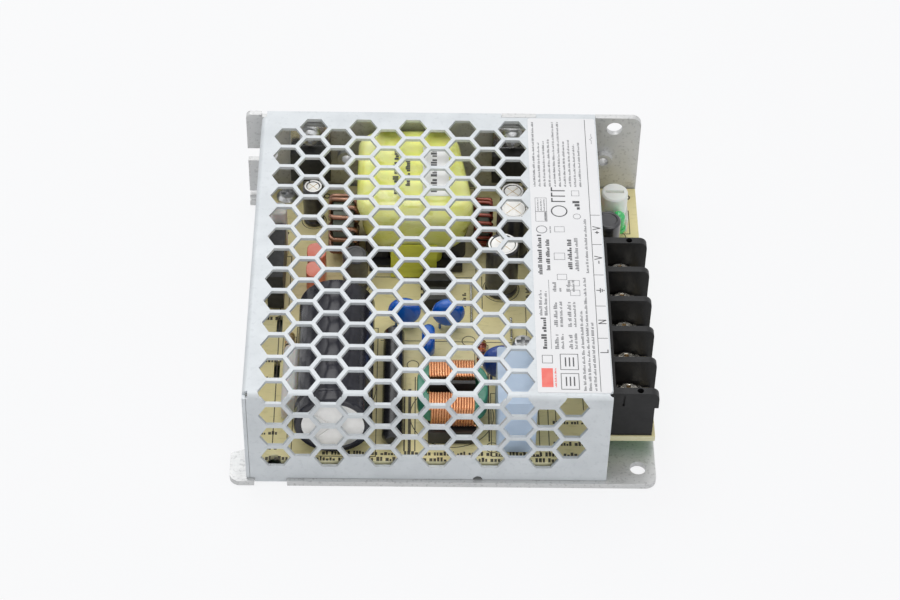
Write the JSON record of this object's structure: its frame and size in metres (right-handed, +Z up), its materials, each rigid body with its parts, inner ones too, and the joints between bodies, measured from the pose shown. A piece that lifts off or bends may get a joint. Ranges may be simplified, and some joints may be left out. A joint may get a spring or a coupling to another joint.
{
  "type": "mesh case switching power supply",
  "caption": "Enclosed switching power supply: folded aluminium chassis, folded hexagon-mesh steel cover, screw terminal block, output adjuster and indicator lamp at the open end.",
  "frame": {"origin": "middle of the footprint, on the underside of the base plate", "axes": "+X to the open end with the screw terminals, +Y to the solid side wall, +Z up, away from the base plate"},
  "size_m": [0.099, 0.097, 0.0301],
  "materials": {
    "chassis_aluminium": "plain rolled sheet, semi-mirror with fine speckle",
    "zinc_sheet": "galvanised, satin, pale blue-grey",
    "zinc_screw": "zinc plated",
    "label_film": "silver-white printed film, satin",
    "insulation_film": "translucent polyester film",
    "board_laminate": "cream printed top, green edge and underside",
    "terminal_moulding": "black nylon, fine matt texture",
    "tinned_brass": "tinned brass",
    "nickel_washer": "nickel plated, warm",
    "nickel_screw": "nickel plated",
    "ferrite": "dark grey ferrite",
    "bobbin_moulding": "black phenolic",
    "yellow_tape": "layers of yellow polyester tape",
    "capacitor_sleeve": "black shrunk sleeve, bare aluminium end with a cross vent",
    "white_silicone": "white silicone adhesive",
    "green_ring": "green lacquered ring core",
    "copper_wire": "enamelled copper",
    "pale_blue_box": "pale blue moulded box",
    "blue_dip": "blue epoxy dip",
    "varistor_dip": "blue epoxy dip",
    "shrink_sleeve": "black heat-shrink sleeve",
    "can_sleeve": "dark printed sleeve, bare aluminium top",
    "grey_ring": "grey-green coated ring core",
    "dark_red_wire": "dark red enamelled wire",
    "red_dip": "red-orange epoxy dip",
    "black_epoxy": "black moulded epoxy",
    "resistor_lacquer": "tan lacquer with colour bands",
    "tinned_wire": "tinned copper",
    "white_moulding": "off-white moulding",
    "cream_moulding": "cream moulding",
    "green_lamp": "green diffused lens"
  },
  "bodies": {
    "root": {"chassis_base": "chassis_aluminium", "chassis_side_wall": "chassis_aluminium", "chassis_rear_ear": "chassis_aluminium", "mesh_cover_top": "zinc_sheet", "mesh_cover_near_wall": "zinc_sheet", "mesh_cover_rear_wall": "zinc_sheet", "cover_screw": "zinc_screw", "rating_label": "label_film", "insulation_sheet": "insulation_film", "circuit_board": "board_laminate", "board_screws": "zinc_screw", "terminal_block": "terminal_moulding", "terminal_plates": "tinned_brass", "transformer_core": "ferrite", "transformer_bobbin": "bobbin_moulding", "transformer_winding": "yellow_tape", "transformer_tape": "yellow_tape", "bulk_capacitor": "capacitor_sleeve", "silicone_beads": "white_silicone", "choke_core": "green_ring", "choke_windings": "copper_wire", "choke_base": "bobbin_moulding", "film_capacitor": "pale_blue_box", "disc_capacitors": "blue_dip", "varistor": "varistor_dip", "sleeved_fuse": "shrink_sleeve", "output_capacitors": "can_sleeve", "small_capacitors": "can_sleeve", "primary_choke_core": "grey_ring", "primary_choke_winding": "copper_wire", "output_choke_core": "grey_ring", "output_choke_winding": "dark_red_wire", "dipped_capacitor": "red_dip", "bridge_rectifier": "black_epoxy", "power_transistor": "black_epoxy", "output_rectifier": "black_epoxy", "device_screws": "zinc_screw", "optocouplers": "black_epoxy", "resistors": "resistor_lacquer", "jumper_wires": "tinned_wire", "adjuster_body": "white_moulding", "indicator_lamp": "green_lamp"},
    "adjuster": {"adjuster_rotor": "cream_moulding"},
    "washer_1": {"clamp_washer_1": "nickel_washer"},
    "screw_1": {"terminal_screw_1": "nickel_screw"},
    "washer_2": {"clamp_washer_2": "nickel_washer"},
    "screw_2": {"terminal_screw_2": "nickel_screw"},
    "washer_3": {"clamp_washer_3": "nickel_washer"},
    "screw_3": {"terminal_screw_3": "nickel_screw"},
    "washer_4": {"clamp_washer_4": "nickel_washer"},
    "screw_4": {"terminal_screw_4": "nickel_screw"},
    "washer_5": {"clamp_washer_5": "nickel_washer"},
    "screw_5": {"terminal_screw_5": "nickel_screw"}
  },
  "joints": [
    {"name": "adjuster_turn", "type": "hinge", "parent": "root", "child": "adjuster", "pos_m": [0.0429, 0.034, 0.014], "axis": [0, 0, 1], "range_deg": [-135, 135]},
    {"name": "terminal_1_travel", "type": "slide", "parent": "root", "child": "washer_1", "axis": [0, 0, 1], "range_m": [0, 0.0025]},
    {"name": "terminal_1_turn", "type": "hinge", "parent": "washer_1", "child": "screw_1", "pos_m": [0.043, -0.0318, 0.0135], "axis": [0, 0, 1], "range_deg": [0, 1800]},
    {"name": "terminal_2_travel", "type": "slide", "parent": "root", "child": "washer_2", "axis": [0, 0, 1], "range_m": [0, 0.0025]},
    {"name": "terminal_2_turn", "type": "hinge", "parent": "washer_2", "child": "screw_2", "pos_m": [0.043, -0.0219, 0.0135], "axis": [0, 0, 1], "range_deg": [0, 1800]},
    {"name": "terminal_3_travel", "type": "slide", "parent": "root", "child": "washer_3", "axis": [0, 0, 1], "range_m": [0, 0.0025]},
    {"name": "terminal_3_turn", "type": "hinge", "parent": "washer_3", "child": "screw_3", "pos_m": [0.043, -0.012, 0.0135], "axis": [0, 0, 1], "range_deg": [0, 1800]},
    {"name": "terminal_4_travel", "type": "slide", "parent": "root", "child": "washer_4", "axis": [0, 0, 1], "range_m": [0, 0.0025]},
    {"name": "terminal_4_turn", "type": "hinge", "parent": "washer_4", "child": "screw_4", "pos_m": [0.043, -0.0021, 0.0135], "axis": [0, 0, 1], "range_deg": [0, 1800]},
    {"name": "terminal_5_travel", "type": "slide", "parent": "root", "child": "washer_5", "axis": [0, 0, 1], "range_m": [0, 0.0025]},
    {"name": "terminal_5_turn", "type": "hinge", "parent": "washer_5", "child": "screw_5", "pos_m": [0.043, 0.0078, 0.0135], "axis": [0, 0, 1], "range_deg": [0, 1800]}
  ],
  "couplings": [
    {"joint": "terminal_1_travel", "follows": "terminal_1_turn", "m_per_rad": 0.000079577},
    {"joint": "terminal_2_travel", "follows": "terminal_2_turn", "m_per_rad": 0.000079577},
    {"joint": "terminal_3_travel", "follows": "terminal_3_turn", "m_per_rad": 0.000079577},
    {"joint": "terminal_4_travel", "follows": "terminal_4_turn", "m_per_rad": 0.000079577},
    {"joint": "terminal_5_travel", "follows": "terminal_5_turn", "m_per_rad": 0.000079577}
  ]
}
